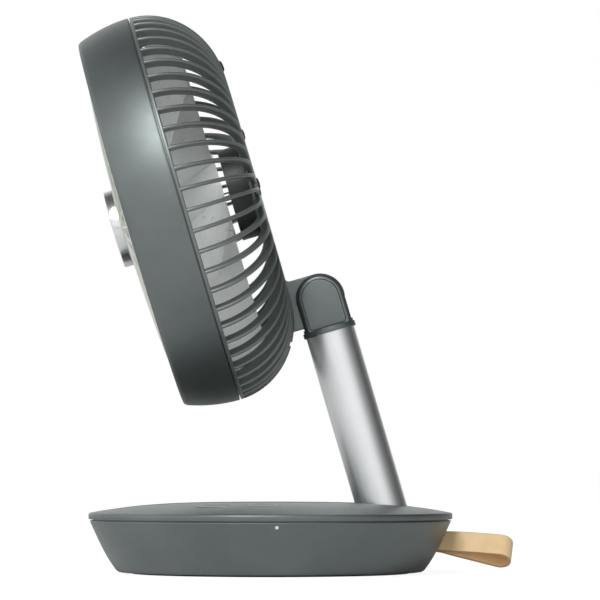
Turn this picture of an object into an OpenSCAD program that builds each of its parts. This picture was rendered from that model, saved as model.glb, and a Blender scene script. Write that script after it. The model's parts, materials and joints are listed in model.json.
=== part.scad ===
// Foldable desk fan: a round base, a column that folds down into the base, and a fan head
// that turns face up over the folded column.
// Frame: the origin is the centre of the base's underside, +Z is up and the air leaves towards -X.

/* [Base] */
// Radius of the base at its rim
base_r = 105; // [104:0.5:106]
// Height of the domed top plate at its middle
base_h = 41; // [40.8:0.1:41.2]
// Height of the top plate at its rim
rim_z = 34.7; // [34:0.1:35.5]
// Height of the visible edge of the top plate
rim_edge = 3.5; // [3:0.1:4]
// Radius of the bowl where it meets the foot pad
foot_r = 88; // [87:0.5:89]
// Wall of the moulded base parts
wall = 2.2; // [2:0.1:2.4]
// Half the width of the slot that takes the folded column
slot_half = 17; // [16.8:0.1:17.2]
// Radius of the two buttons
button_r = 9.4; // [9:0.1:9.6]
// How far a button can be pressed
button_travel = 0.8; // [0.6:0.1:1]

/* [Column] */
// Forward lean of the open column, in degrees
column_lean = 16.4; // [15:0.1:18]
// Distance from the lower hinge to the upper hinge
column_len = 137.8; // [136:0.1:139]
// Outer diameter of the tube
tube_d = 28.7; // [28:0.1:29]
// Wall of the tube
tube_wall = 1.5; // [1.2:0.1:1.8]
// Diameter of both hinge pins
pin_d = 6; // [5:0.1:6]

/* [Head] */
// Largest radius of the head, where housing and rear grille meet
head_r = 115.1; // [114:0.1:116]
// Depth of the front housing
housing_depth = 32.4; // [31:0.1:33]
// Depth of the rear grille
grille_depth = 43.8; // [43.5:0.1:44]
// Distance from the fan's axis down to the upper hinge
head_drop = 71.9; // [71:0.1:73]
// Distance from the housing's back edge to the upper hinge
head_set = 60.4; // [60:0.1:61]
// Number of ribs in each grille
rib_count = 59; // [53:2:59]
// Thickness of a rib
rib_t = 2.2; // [1.8:0.1:2.3]
// Radius of the round cap on the front grille
cap_r = 22.7; // [22:0.1:23]

/* [Impeller] */
// Number of blades
blade_count = 7; // [5:1:9]
// Radius over the blade tips
blade_r = 99; // [95:0.5:100]
// Turn of a blade from its front edge to its back edge, in degrees
blade_twist = 38; // [30:1:42]

/* [Hidden] */
$fn = 96;

// Colours
shell_grey = [0.36, 0.39, 0.385];
dark_grey = [0.2, 0.22, 0.22];
pale_grille = [0.86, 0.88, 0.83];
steel = [0.72, 0.73, 0.75];
tan_leather = [0.85, 0.7, 0.45];

// Clearances: between still parts, round a pin or a shaft that turns, and under a screw's head
gap = 0.2;
running = 0.05;
seat_play = 0.02;

// Lower hinge: its axis runs along Y
hinge_x = 67.7;
hinge_z = 26.5;
pin_r = pin_d / 2;
tube_r = tube_d / 2;

// Upper hinge and the middle of the head, both in the part's own frame
up_x = -sin(column_lean);
up_z = cos(column_lean);
pivot_x = hinge_x + column_len * up_x;
pivot_z = hinge_z + column_len * up_z;
head_x = pivot_x + head_drop * up_x - head_set * up_z;
head_z = pivot_z + head_drop * up_z + head_set * up_x;

// Heights of the base's layers, from the foot pad up
pad_h = 0.8;
pad_r = foot_r - 7.5;
cover_top = pad_h + 2;
floor_top = cover_top + 2;
bowl_top = rim_z - rim_edge - 0.7;
cover_r = foot_r - 4;
floor_hole_r = 48;
cover_screw_r = foot_r - 9.5;
cover_screw_angles = [35, 90, 145, 215, 270, 325];

// Trough that takes the folded column, and the bracket round it
trough_floor = 10;
trough_wall = 1.5;
slot_front = -87;
slot_back = hinge_x;
notch_front = -95.2;
notch_floor = 25;
slot_corner = 6;
bracket_in = slot_half + trough_wall + gap;
bracket_t = 2.6;
bracket_screw_xs = [hinge_x - 8, hinge_x + 8];

// Buttons, with the board and its switches below them
buttons_y = -64;
power_x = -32;
speed_x = -3.5;
button_tilt = 3.9;
button_dish = 0.7;
stem_len = 9.2;
board_z = 24.6;
board_t = 1.6;
board_x = [-48, 14];
board_y = [-71, -50];
board_screw_at = [[-45, -53], [11, -67.5], [-18, -68]];

// Battery cells: 18.3 by 65 mm, two on each side of the trough
cell_r = 9.15;
cell_len = 65;
cell_ys = [-51, -31.5, 31.5, 51];
tray_floor = floor_top + 1.2;

// Pull loop: it leaves the back of the bowl, droops and leans
strap_t = 1.5;
strap_w = 14;
strap_root_x = 98;
strap_root_z = 18.2;
strap_droop = 9;
strap_tilt = 35;
loop_r = 7;
loop_len = 35;
strap_tail = 10.2;
strap_screw_x = 2.2 - strap_tail;
strap_screw_zs = [-4.5, 4.5];

// Indicator light at the near side and charging socket at the far back of the bowl
light_x = 4.3;
light_z = 28;
light_r = 1.25;
light_front = 1.75;
socket_angle = 40;
socket_z = 16;
socket_w = 8.9;
socket_h = 3.2;
socket_len = 9;
socket_back = 88.4;

// Column foot: a barrel between friction washers, with a plug that fills the end of the tube
tube_low = 8.3;
foot_barrel_r = 12;
foot_barrel_half = 11.4;
plug_low = 8.5;
plug_high = 34;
washer_r = 7.5;
washer_half = 0.8;
washer_ys = [12.3, 14.1];

// Knuckle on top of the column and the lead inside it
knuckle_r = tube_r + 0.4;
knuckle_flat = 9.3;
lip_r = tube_r + 1.15;
knuckle_round = lip_r - 0.1;
lip_low = column_len - 20.5;
lip_h = 3;
ear_inner = 6.2;
fork_floor = column_len - knuckle_r - 1.1;
cover_t = 1.2;
cover_w = 10.7;
cover_drop = 16.9;
lead_x = 7;
lead_r = 1.6;

// Arm between the upper hinge and the rear grille
arm_half = 4.8;
arm_r = knuckle_r - 0.4;
spine_half = 13;
spine_in = 28;
spine_end = 93;
arm_screw_x = 33;

// Grilles and housing, in the head's own frame: z runs backwards from the housing's back edge
rim_r = head_r - 0.1;
split = 0.7;
shoulder_r = 67;
brace_r = 58;
brace_w = 1.6;
rib_depth = 5.4;
rim_ring_h = 2;
rim_lip_h = 3;
plate_r = 38;
plate_t = 2.2;
plate_proud = 0.3;
screw_seat_z = grille_depth - 0.9;
bumper_at = 32;
bumper_h = 1.2;
stud_angle = 81.85;
stud_tilt = 7.5;
housing_wall = 2.4;
housing_taper = 6.2;
front_r = 106;
front_z = -31.3;
front_seat_z = -28.2;
front_dome = 6.3;
front_rib_depth = 3;
front_rib_t = 1.3;
front_ring_rs = [50, 77];
cap_seat_z = -37.6;
cap_h = 5.4;
disc_r = 19;
disc_t = 0.7;

// Motor and rotor, in the same frame
can_r = 27;
can_front = 27;
can_back = grille_depth - plate_t;
stator_z = 30.8;
stator_h = 7;
tooth_in = 10.3;
motor_screw_r = 20;
motor_screw_angles = [60, 180, 300];
shaft_r = 2.5;
bearing_r = 6;
bearing_w = 2.6;
rotor_r = 9.8;
hub_r = 26;
hub_front = -14;
hub_back = 24;
blade_bow = 12;

// Height of the dome at a distance r from the middle of the base
function dome_z(r) = base_h - (base_h - rim_z) * pow(r / base_r, 3.5);

// Outer radius of the bowl at a height z: a straight taper that rounds under at the foot
function bowl_r(z) =
    let (down = bowl_top - z)
    base_r - 0.6 - 0.455 * down - (base_r - foot_r - 13.85) * pow(down / bowl_top, 4);

dome_points = [for (i = [0:12]) let (r = (base_r - 0.5) * i / 12) [r, dome_z(r)]];
bowl_heights = [for (i = [0:8]) pad_h + (bowl_top - pad_h) * i / 8];

// Places: children are drawn in the frame of the column, the head, the strap or a button
module at_column() {
    translate([hinge_x, 0, hinge_z]) rotate([0, -column_lean, 0]) children();
}

module at_head() {
    translate([head_x, 0, head_z]) rotate([0, 90 - column_lean, 0]) children();
}

module at_strap() {
    translate([strap_root_x, 0, strap_root_z]) rotate([0, strap_droop, 0]) rotate([-strap_tilt, 0, 0])
        children();
}

module at_button(x) {
    translate([x, buttons_y, dome_z(norm([x, buttons_y]))]) rotate([button_tilt, 0, 0]) children();
}

// Cylinder along Y, centred on the XZ plane
module cross_cylinder(r, half) {
    rotate([90, 0, 0]) cylinder(r = r, h = 2 * half, center = true);
}

// Extrudes an outline drawn in the XZ plane, from y = low to y = high
module slab(low, high) {
    translate([0, high, 0]) rotate([90, 0, 0]) linear_extrude(high - low) children();
}

// Ring between two radii
module ring(r_out, r_in, h) {
    rotate_extrude() translate([r_in, 0]) square([r_out - r_in, h]);
}

// Screw whose head sits below z = 0 and whose shank points up
module screw(r, len, head, head_h) {
    translate([0, 0, -head_h / 2]) cylinder(r = r, h = len + head_h / 2, $fn = 24);
    translate([0, 0, -head_h]) cylinder(r = head, h = head_h - seat_play, $fn = 32);
}

// Outline of a slot with round ends, from x = a to x = b
module slot_outline(a, b, r) {
    translate([a, 0]) circle(r = r);
    translate([b, 0]) circle(r = r);
    translate([a, -r]) square([b - a, 2 * r]);
}

// Outline of the column's slot: square with round corners in front, and a half circle round the lower hinge
module column_outline(front, grow) {
    for (s = [-1, 1]) translate([front + slot_corner, s * (slot_half - slot_corner)]) circle(r = slot_corner + grow);
    translate([front - grow, slot_corner - slot_half]) square([20, 2 * (slot_half - slot_corner)]);
    translate([front + slot_corner, -slot_half - grow])
        square([slot_back - front - slot_corner, 2 * (slot_half + grow)]);
    translate([slot_back, 0]) circle(r = slot_half + grow);
}

// Outline with a round top of radius w and small round corners at the bottom
module arch_outline(w, drop, corner) {
    circle(r = w);
    translate([-w, corner - drop]) square([2 * w, drop - corner]);
    translate([corner - w, -drop]) square([2 * (w - corner), drop]);
    for (s = [-1, 1]) translate([s * (w - corner), corner - drop]) circle(r = corner);
}

// ---- Base ----

module bowl_wall() {
    rotate_extrude() polygon(concat(
        [for (z = bowl_heights) [bowl_r(z), z]],
        [[base_r - 2.6, bowl_top], [base_r - 2.6, bowl_top + 2], [base_r - 4.2, bowl_top + 2]],
        [for (i = [8:-1:2]) [bowl_r(bowl_heights[i]) - wall - 0.6, bowl_heights[i]]],
        [[bowl_r(floor_top) - wall - 0.6, floor_top], [floor_hole_r, floor_top], [floor_hole_r, cover_top]],
        [[cover_r + gap, cover_top], [cover_r + gap, pad_h]]
    ));
}

module socket_outline(grow) {
    h = socket_h / 2 + grow;
    slot_outline(-(socket_w - socket_h) / 2, (socket_w - socket_h) / 2, h);
}

module at_socket(r) {
    rotate([0, 0, socket_angle]) translate([r, 0, socket_z]) rotate([90, 0, 90]) children();
}

module base_bowl() {
    color(shell_grey) difference() {
        bowl_wall();
        for (a = cover_screw_angles)
            rotate([0, 0, a]) translate([cover_screw_r, 0, 0]) cylinder(r = 1.6, h = 8, $fn = 24);
        for (x = bracket_screw_xs, y = [-12, 12]) translate([x, y, 0]) cylinder(r = 1.5, h = 8, $fn = 24);
        at_strap() translate([-20, -strap_t - gap, -strap_w / 2 - gap])
            cube([30, 2 * strap_t + 2 * gap, strap_w + 2 * gap]);
        at_socket(85) linear_extrude(20) socket_outline(0.1);
        translate([light_x, -base_r, light_z]) rotate([-90, 0, 0]) cylinder(r = light_r, h = 8, $fn = 32);
    }
}

module base_top_plate() {
    color(shell_grey) difference() {
        union() {
            rotate_extrude() polygon(concat(
                dome_points,
                [[base_r, rim_z - 0.5], [base_r, rim_z - rim_edge], [base_r - 1.6, rim_z - rim_edge]],
                [for (i = [12:-1:0]) let (r = (base_r - 1.6) * i / 12) [r, dome_z(r) - wall]]
            ));
            for (a = cover_screw_angles)
                rotate([0, 0, a]) translate([cover_screw_r, 0, floor_top])
                    cylinder(r = 3.5, h = dome_z(cover_screw_r) - wall / 2 - floor_top, $fn = 32);
            for (p = board_screw_at)
                translate([p[0], p[1], board_z + board_t])
                    cylinder(r = 2.6, h = dome_z(norm(p)) - wall / 2 - board_z - board_t, $fn = 32);
        }
        translate([0, 0, notch_floor]) linear_extrude(base_h) column_outline(notch_front, 0);
        for (x = [power_x, speed_x])
            at_button(x) translate([0, 0, -6]) cylinder(r = button_r + gap, h = 12);
        for (a = cover_screw_angles)
            rotate([0, 0, a]) translate([cover_screw_r, 0, 0]) cylinder(r = 1.5, h = 16, $fn = 24);
        for (p = board_screw_at)
            translate([p[0], p[1], board_z]) cylinder(r = 1.1, h = 6, $fn = 24);
    }
}

module column_trough() {
    low = trough_floor - trough_wall;
    color(dark_grey) difference() {
        intersection() {
            union() {
                translate([0, 0, low]) linear_extrude(base_h) column_outline(slot_front, trough_wall);
                translate([0, 0, notch_floor - trough_wall]) linear_extrude(base_h)
                    column_outline(notch_front, trough_wall);
            }
            rotate_extrude() polygon(concat(
                [for (i = [0:12]) let (r = (base_r - 2) * i / 12) [r, dome_z(r) - wall - 0.05]],
                [[base_r - 2, low - 1], [0, low - 1]]
            ));
        }
        translate([0, 0, trough_floor]) linear_extrude(base_h) column_outline(slot_front, 0);
        translate([0, 0, notch_floor]) linear_extrude(base_h) column_outline(notch_front, 0);
        translate([hinge_x, 0, hinge_z]) cross_cylinder(pin_r + gap, 30);
    }
}

module bottom_cover() {
    color(dark_grey) difference() {
        translate([0, 0, pad_h]) cylinder(r = cover_r, h = cover_top - pad_h);
        for (a = cover_screw_angles) rotate([0, 0, a]) translate([cover_screw_r, 0, 0]) {
            cylinder(r = 1.6, h = 8, $fn = 24);
            cylinder(r = 3.1, h = pad_h + 1.2, $fn = 32);
        }
    }
}

module foot_pad() {
    color("dimgray") cylinder(r = pad_r, h = pad_h);
}

module cover_screws() {
    color(steel) for (a = cover_screw_angles)
        rotate([0, 0, a]) translate([cover_screw_r, 0, pad_h + 1.2]) screw(1.5, 12, 3, 1.2);
}

module hinge_bracket() {
    low = hinge_z - floor_top;
    color(steel) difference() {
        union() {
            for (s = [-1, 1]) translate([hinge_x, s * (bracket_in + bracket_t / 2), hinge_z])
                slab(-bracket_t / 2, bracket_t / 2) {
                    circle(r = 9);
                    translate([-9, -low]) square([18, low]);
                }
            translate([hinge_x - 12, -bracket_in - bracket_t, floor_top])
                cube([24, 2 * (bracket_in + bracket_t), 2]);
        }
        translate([hinge_x, 0, hinge_z]) cross_cylinder(pin_r, 30);
        for (x = bracket_screw_xs, y = [-12, 12]) translate([x, y, 0]) cylinder(r = 1.5, h = 8, $fn = 24);
    }
}

module bracket_screws() {
    color(steel) for (x = bracket_screw_xs, y = [-12, 12])
        translate([x, y, floor_top + 2]) mirror([0, 0, 1]) screw(1.5, 3.8, 2.8, 1);
}

module lower_hinge_pin() {
    color(steel) translate([hinge_x, 0, hinge_z]) cross_cylinder(pin_r, 23);
}

module lower_pin_clips() {
    color(steel) for (s = [-1, 1])
        translate([hinge_x, s * (bracket_in + bracket_t + 0.6), hinge_z]) difference() {
            cross_cylinder(pin_r + 2, 0.4);
            cross_cylinder(pin_r, 1);
        }
}

module lower_friction_washers() {
    color("goldenrod") for (s = [-1, 1], y = washer_ys)
        translate([hinge_x, s * y, hinge_z]) difference() {
            cross_cylinder(washer_r, washer_half);
            cross_cylinder(pin_r, 1);
        }
}

module battery_cells() {
    color("seagreen") for (y = cell_ys) translate([0, y, tray_floor + cell_r]) rotate([0, 90, 0]) {
        cylinder(r = cell_r, h = cell_len - 2, center = true, $fn = 48);
        cylinder(r = 3, h = cell_len, center = true, $fn = 32);
    }
}

module battery_trays() {
    color(dark_grey) for (s = [-1, 1]) scale([1, s, 1]) difference() {
        translate([-36, 20.5, floor_top]) cube([72, 41.5, 11]);
        translate([-33.4, 22.1, tray_floor]) cube([66.8, 38.4, 20]);
    }
}

module control_board() {
    color("darkgreen") difference() {
        translate([board_x[0], board_y[0], board_z])
            cube([board_x[1] - board_x[0], board_y[1] - board_y[0], board_t]);
        for (p = board_screw_at) translate([p[0], p[1], board_z - 1]) cylinder(r = 1.1, h = 4, $fn = 24);
    }
}

module board_screws() {
    color(steel) for (p = board_screw_at) translate([p[0], p[1], board_z]) screw(1.1, 6, 2, 0.9);
}

module tact_switches() {
    color("black") for (x = [power_x, speed_x]) translate([x, buttons_y, board_z + board_t]) {
        translate([-3, -3, 0]) cube([6, 6, 2.2]);
        cylinder(r = 1.75, h = 3.05, $fn = 32);
    }
}

module indicator_light_pipe() {
    color("white") translate([light_x, light_front - base_r, light_z]) rotate([-90, 0, 0])
        cylinder(r = light_r, h = 6, $fn = 32);
}

module charge_socket() {
    color(steel) at_socket(socket_back) {
        linear_extrude(0.8) socket_outline(0);
        linear_extrude(socket_len) difference() {
            socket_outline(0);
            socket_outline(-0.3);
        }
        linear_extrude(socket_len - 1.5) square([6, 0.7], center = true);
    }
}

module pull_loop() {
    color(tan_leather) at_strap() difference() {
        translate([0, 0, -strap_w / 2]) linear_extrude(strap_w) {
            translate([-strap_tail, -strap_t]) square([strap_tail + 1, 2 * strap_t]);
            difference() {
                hull() {
                    translate([strap_t, 0]) circle(r = strap_t, $fn = 32);
                    translate([loop_len, 0]) circle(r = loop_r, $fn = 48);
                }
                hull() {
                    translate([strap_t * 4, 0]) circle(r = 0.2, $fn = 16);
                    translate([loop_len, 0]) circle(r = loop_r - strap_t, $fn = 48);
                }
            }
        }
        for (z = strap_screw_zs) translate([strap_screw_x, 0, z]) cross_cylinder(1.1, 5, $fn = 24);
    }
}

module strap_clamp() {
    color(dark_grey) at_strap() for (s = [-1, 1]) difference() {
        translate([-strap_tail, s * (strap_t + 1) - 1, -strap_w / 2]) cube([4.4, 2, strap_w]);
        for (z = strap_screw_zs) translate([strap_screw_x, 0, z]) cross_cylinder(1.1, 5, $fn = 24);
    }
}

module strap_screws() {
    color(steel) at_strap() for (z = strap_screw_zs)
        translate([strap_screw_x, strap_t + 2, z]) rotate([90, 0, 0]) screw(1.1, 2 * strap_t + 4, 2, 0.9);
}

// ---- Buttons ----

module push_button(x) {
    color(dark_grey) at_button(x) {
        rotate_extrude() polygon(concat(
            [for (i = [0:6]) let (r = (button_r - 0.6) * i / 6) [r, button_dish * (pow(i / 6, 2) - 1) + 0.1]],
            [[button_r, -0.4], [button_r, -4], [button_r + 1.2, -4], [button_r + 1.2, -5], [0, -5]]
        ));
        translate([0, 0, -stem_len]) cylinder(r = 2, h = stem_len - 4, $fn = 32);
    }
}

module power_button() {
    push_button(power_x);
}

module speed_button() {
    push_button(speed_x);
}

// ---- Column ----

module column_tube() {
    color("silver") at_column() difference() {
        translate([0, 0, tube_low]) cylinder(r = tube_r, h = lip_low - tube_low);
        cylinder(r = tube_r - tube_wall, h = column_len);
        cross_cylinder(foot_barrel_r + gap, 20);
    }
}

module column_foot() {
    color(dark_grey) at_column() difference() {
        union() {
            cross_cylinder(foot_barrel_r, foot_barrel_half);
            translate([0, 0, plug_low]) cylinder(r = tube_r - tube_wall, h = plug_high - plug_low);
        }
        cross_cylinder(pin_r + running, 20);
        translate([lead_x, 0, -20]) cylinder(r = lead_r, h = 80, $fn = 24);
    }
}

// Round bar trimmed to an arch seen from the side and to flats on its two faces
module knuckle_body() {
    intersection() {
        union() {
            translate([0, 0, lip_low]) cylinder(r = knuckle_round, h = column_len - lip_low);
            translate([0, 0, column_len]) sphere(r = knuckle_round);
        }
        slab(-knuckle_flat, knuckle_flat) {
            translate([0, column_len]) circle(r = knuckle_r);
            translate([-knuckle_r, lip_low]) square([2 * knuckle_r, column_len - lip_low]);
        }
    }
}

module knuckle_fork() {
    color(shell_grey) at_column() difference() {
        union() {
            knuckle_body();
            translate([0, 0, lip_low]) cylinder(r = lip_r, h = lip_h);
            translate([0, 0, lip_low - 18]) cylinder(r = tube_r - tube_wall, h = 18.1);
        }
        translate([-30, -ear_inner, fork_floor]) cube([60, 2 * ear_inner, 60]);
        for (s = [-1, 1]) {
            translate([0, s * (knuckle_flat + 1 - cover_t), column_len])
                slab(-1, 1) arch_outline(cover_w + 0.15, cover_drop + 0.15, 2.15);
        }
        translate([0, 0, column_len]) cross_cylinder(pin_r + running, 20);
        translate([lead_x, 0, lip_low - 20]) cylinder(r = lead_r, h = 60, $fn = 24);
    }
}

module knuckle_cover(side) {
    color(shell_grey) at_column() translate([0, side * (knuckle_flat - cover_t / 2), column_len])
        slab(-cover_t / 2, cover_t / 2) arch_outline(cover_w, cover_drop, 2);
}

module knuckle_cover_left() {
    knuckle_cover(-1);
}

module knuckle_cover_right() {
    knuckle_cover(1);
}

module motor_lead() {
    color("black") at_column() translate([lead_x, 0, -6]) cylinder(r = lead_r, h = fork_floor + 6, $fn = 24);
}

// ---- Upper hinge ----

module upper_hinge_pin() {
    color(steel) at_column() translate([0, 0, column_len])
        cross_cylinder(pin_r, knuckle_flat - cover_t - 0.2);
}

module upper_friction_washers() {
    mid = (arm_half + ear_inner) / 2;
    half = (ear_inner - arm_half) / 2 - 0.1;
    color("goldenrod") at_column() for (s = [-1, 1]) translate([0, s * mid, column_len]) difference() {
        cross_cylinder(9, half);
        cross_cylinder(pin_r, 2);
    }
}

// ---- Head ----

// Point on the outline of the rear grille, seen in a plane through the fan's axis
function back_point(a, inset) =
    [shoulder_r + (rim_r - shoulder_r - inset) * cos(a), (grille_depth - inset) * sin(a)];

// Height of the front grille at a distance r from the axis
function front_point_z(r) = front_z - front_dome * (1 - pow(r / front_r, 2));

// Outer radius of the front housing
function housing_r(z) = head_r - housing_taper * pow(z / housing_depth, 2);

// Strip of the grille's section between two angles round the shoulder, reaching in to the radius r_in
module back_strip(a_low, r_in, depth) {
    polygon(concat(
        [for (i = [0:10]) back_point(a_low + (90 - a_low) * i / 10, 0)],
        [[r_in, grille_depth], [r_in, grille_depth - depth]],
        [for (i = [10:-1:0]) back_point(a_low + (90 - a_low) * i / 10, depth)]
    ));
}

module head_arm() {
    color(shell_grey) at_head() difference() {
        union() {
            slab(-spine_half, spine_half) intersection() {
                back_strip(2, plate_r + gap, rib_depth);
                square([spine_end, 100]);
            }
            translate([spine_in, -spine_half, grille_depth - rib_depth])
                cube([plate_r + 2 - spine_in, 2 * spine_half, rib_depth - plate_t - 0.05]);
            slab(-arm_half, arm_half) {
                translate([head_drop, head_set]) circle(r = arm_r);
                translate([head_drop - arm_r, grille_depth - rib_depth])
                    square([2 * arm_r, head_set - grille_depth + rib_depth]);
            }
        }
        translate([head_drop, 0, head_set]) cross_cylinder(pin_r + running, 20);
        for (y = [-7, 7]) translate([arm_screw_x, y, can_front]) cylinder(r = 1.5, h = 20, $fn = 24);
    }
}

module arm_screws() {
    color(steel) at_head() for (y = [-7, 7])
        translate([arm_screw_x, y, screw_seat_z]) mirror([0, 0, 1]) screw(1.5, 3.4, 2.6, 1);
}

module rear_grille() {
    near = 3 * 360 / rib_count + 1;
    color(dark_grey) at_head() {
        difference() {
            translate([0, 0, grille_depth - plate_t]) cylinder(r = plate_r, h = plate_t + plate_proud);
            for (y = [-7, 7]) translate([arm_screw_x, y, can_front]) {
                cylinder(r = 1.5, h = 20, $fn = 24);
                translate([0, 0, screw_seat_z - can_front]) cylinder(r = 2.6, h = 3, $fn = 32);
            }
            for (a = motor_screw_angles) rotate([0, 0, a]) translate([motor_screw_r, 0, can_front]) {
                cylinder(r = 1.5, h = 20, $fn = 24);
                translate([0, 0, screw_seat_z - can_front]) cylinder(r = 2.6, h = 3, $fn = 32);
            }
        }
        ring(rim_r, rim_r - 5.2, rim_ring_h);
        translate([0, 0, -rim_lip_h]) ring(rim_r - 2.6, rim_r - 4.6, rim_lip_h + 0.1);
        difference() {
            translate([0, 0, grille_depth - rib_depth + 0.5]) ring(brace_r + brace_w, brace_r, brace_w);
            translate([0, -spine_half - gap, 0]) cube([200, 2 * (spine_half + gap), 100]);
        }
        for (i = [0:rib_count - 1]) let (a = i * 360 / rib_count)
            if (min(a, 360 - a) > near) rotate([0, 0, a]) back_rib();
        difference() {
            for (i = [0:rib_count - 1]) let (a = i * 360 / rib_count)
                if (min(a, 360 - a) <= near) rotate([0, 0, a]) back_rib();
            translate([0, -spine_half - gap, 0]) cube([spine_end + gap, 2 * (spine_half + gap), 100]);
        }
    }
}

module back_rib() {
    slab(-rib_t / 2, rib_t / 2) back_strip(2, plate_r - 1, rib_depth);
}

module front_housing() {
    steps = 8;
    z_front = 1 - housing_depth;
    color(shell_grey) at_head() rotate_extrude() polygon(concat(
        [for (i = [0:steps]) let (z = -split + (z_front + split) * i / steps) [housing_r(z), z]],
        [[housing_r(z_front) - 0.4, z_front - 0.7], [housing_r(z_front) - 1.2, -housing_depth]],
        [[front_r + 0.4, -housing_depth], [front_r + 0.4, front_seat_z], [front_r - 2, front_seat_z]],
        [[front_r - 2, front_seat_z + 1.6]],
        [for (i = [steps - 1:-1:0]) let (z = -split + (z_front + split) * i / steps)
            [housing_r(z) - housing_wall, z]]
    ));
}

module front_rib() {
    slab(-front_rib_t / 2, front_rib_t / 2) polygon(concat(
        [for (i = [0:6]) let (r = cap_r + (front_r - 1.5 - cap_r) * i / 6) [r, front_point_z(r)]],
        [for (i = [6:-1:0]) let (r = cap_r + (front_r - 1.5 - cap_r) * i / 6)
            [r, front_point_z(r) + front_rib_depth]]
    ));
}

module front_grille() {
    color(pale_grille) at_head() {
        translate([0, 0, front_z]) ring(front_r + 0.2, front_r - 2.8, front_seat_z - front_z);
        translate([0, 0, cap_seat_z]) cylinder(r = cap_r + 1.8, h = front_rib_depth);
        for (r = front_ring_rs)
            translate([0, 0, front_point_z(r) + 0.6]) ring(r + 0.7, r - 0.7, front_rib_depth - 0.6);
        for (i = [0:rib_count - 1]) rotate([0, 0, i * 360 / rib_count]) front_rib();
    }
}

module hub_cap() {
    front = cap_seat_z - cap_h;
    color("silver") at_head() rotate_extrude() polygon([
        [0, front + disc_t], [disc_r + 0.1, front + disc_t], [disc_r + 0.1, front], [cap_r - 0.4, front],
        [cap_r, front + 0.4], [cap_r, cap_seat_z], [cap_r - 1.5, cap_seat_z],
        [cap_r - 1.5, front + disc_t + 1.2], [0, front + disc_t + 1.2]
    ]);
}

module hub_disc() {
    color(dark_grey) at_head() translate([0, 0, cap_seat_z - cap_h]) cylinder(r = disc_r, h = disc_t);
}

module motor_can() {
    color("dimgray") at_head() difference() {
        translate([0, 0, can_front]) union() {
            ring(can_r, can_r - 2, can_back - can_front);
            cylinder(r = can_r - 1, h = 1.6);
            cylinder(r = bearing_r + 2, h = bearing_w);
        }
        translate([0, 0, can_front - 1]) cylinder(r = bearing_r, h = 10);
    }
}

module motor_end_plate() {
    color("dimgray") at_head() difference() {
        translate([0, 0, can_back - bearing_w]) cylinder(r = can_r - 2, h = bearing_w);
        translate([0, 0, can_front]) cylinder(r = bearing_r, h = 30);
        for (a = motor_screw_angles)
            rotate([0, 0, a]) translate([motor_screw_r, 0, can_front]) cylinder(r = 1.5, h = 30, $fn = 24);
    }
}

module motor_bearings() {
    color(steel) at_head() for (z = [can_front, can_back - bearing_w])
        translate([0, 0, z]) ring(bearing_r, shaft_r + running, bearing_w);
}

module motor_screws() {
    color(steel) at_head() for (a = motor_screw_angles)
        rotate([0, 0, a]) translate([motor_screw_r, 0, screw_seat_z]) mirror([0, 0, 1])
            screw(1.5, 3.6, 2.6, 1);
}

module stator() {
    color("slategray") at_head() translate([0, 0, stator_z]) {
        ring(can_r - 2.2, can_r - 6, stator_h);
        for (i = [0:8]) rotate([0, 0, i * 40]) {
            translate([tooth_in, -1.5, 0]) cube([can_r - 5 - tooth_in, 3, stator_h]);
            translate([tooth_in, -3, 0]) cube([1.4, 6, stator_h]);
        }
    }
}

module stator_coils() {
    color("peru") at_head() translate([0, 0, stator_z]) for (i = [0:8]) rotate([0, 0, i * 40]) difference() {
        translate([tooth_in + 1.6, -3, -1]) cube([6, 6, stator_h + 2]);
        translate([tooth_in + 1, -1.5, 0]) cube([8, 3, stator_h]);
    }
}

module back_bumpers() {
    stud = back_point(stud_angle, -0.03);
    color("black") at_head() {
        for (a = [90, 180, 270]) rotate([0, 0, a])
            translate([bumper_at, 0, grille_depth + plate_proud]) cylinder(r = 3.5, h = bumper_h, $fn = 32);
        translate([-stud[0], 0, stud[1]]) rotate([0, -stud_tilt, 0]) cylinder(r = 3.5, h = bumper_h, $fn = 32);
    }
}

// ---- Rotor ----

module motor_shaft() {
    color(steel) at_head() translate([0, 0, hub_front - 4]) cylinder(r = shaft_r, h = can_back - hub_front + 3.5);
}

module rotor_magnet() {
    color("black") at_head() translate([0, 0, stator_z]) ring(rotor_r, shaft_r, stator_h);
}

module blade() {
    steps = 8;
    span = blade_r - hub_r + 1;
    translate([0, 0, hub_front + 1]) linear_extrude(hub_back - hub_front - 2, twist = blade_twist, slices = steps, $fn = 16)
        polygon(concat(
            [for (i = [0:steps]) let (r = hub_r - 1 + span * i / steps, a = blade_bow * pow(i / steps, 2))
                [r * cos(a), r * sin(a) + 0.9]],
            [for (i = [steps:-1:0]) let (r = hub_r - 1 + span * i / steps, a = blade_bow * pow(i / steps, 2))
                [r * cos(a), r * sin(a) - 0.9]]
        ));
}

module impeller() {
    color("whitesmoke") at_head() {
        translate([0, 0, hub_front]) {
            ring(hub_r, hub_r - 2, hub_back - hub_front);
            ring(hub_r - 1, shaft_r, 2);
            ring(6, shaft_r, 24);
        }
        for (i = [0:blade_count - 1]) rotate([0, 0, i * 360 / blade_count]) blade();
    }
}

module impeller_nut() {
    color(steel) at_head() translate([0, 0, hub_front - 3.5]) difference() {
        cylinder(r = 5, h = 3.5, $fn = 6);
        translate([0, 0, -1]) cylinder(r = shaft_r, h = 6);
    }
}

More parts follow.
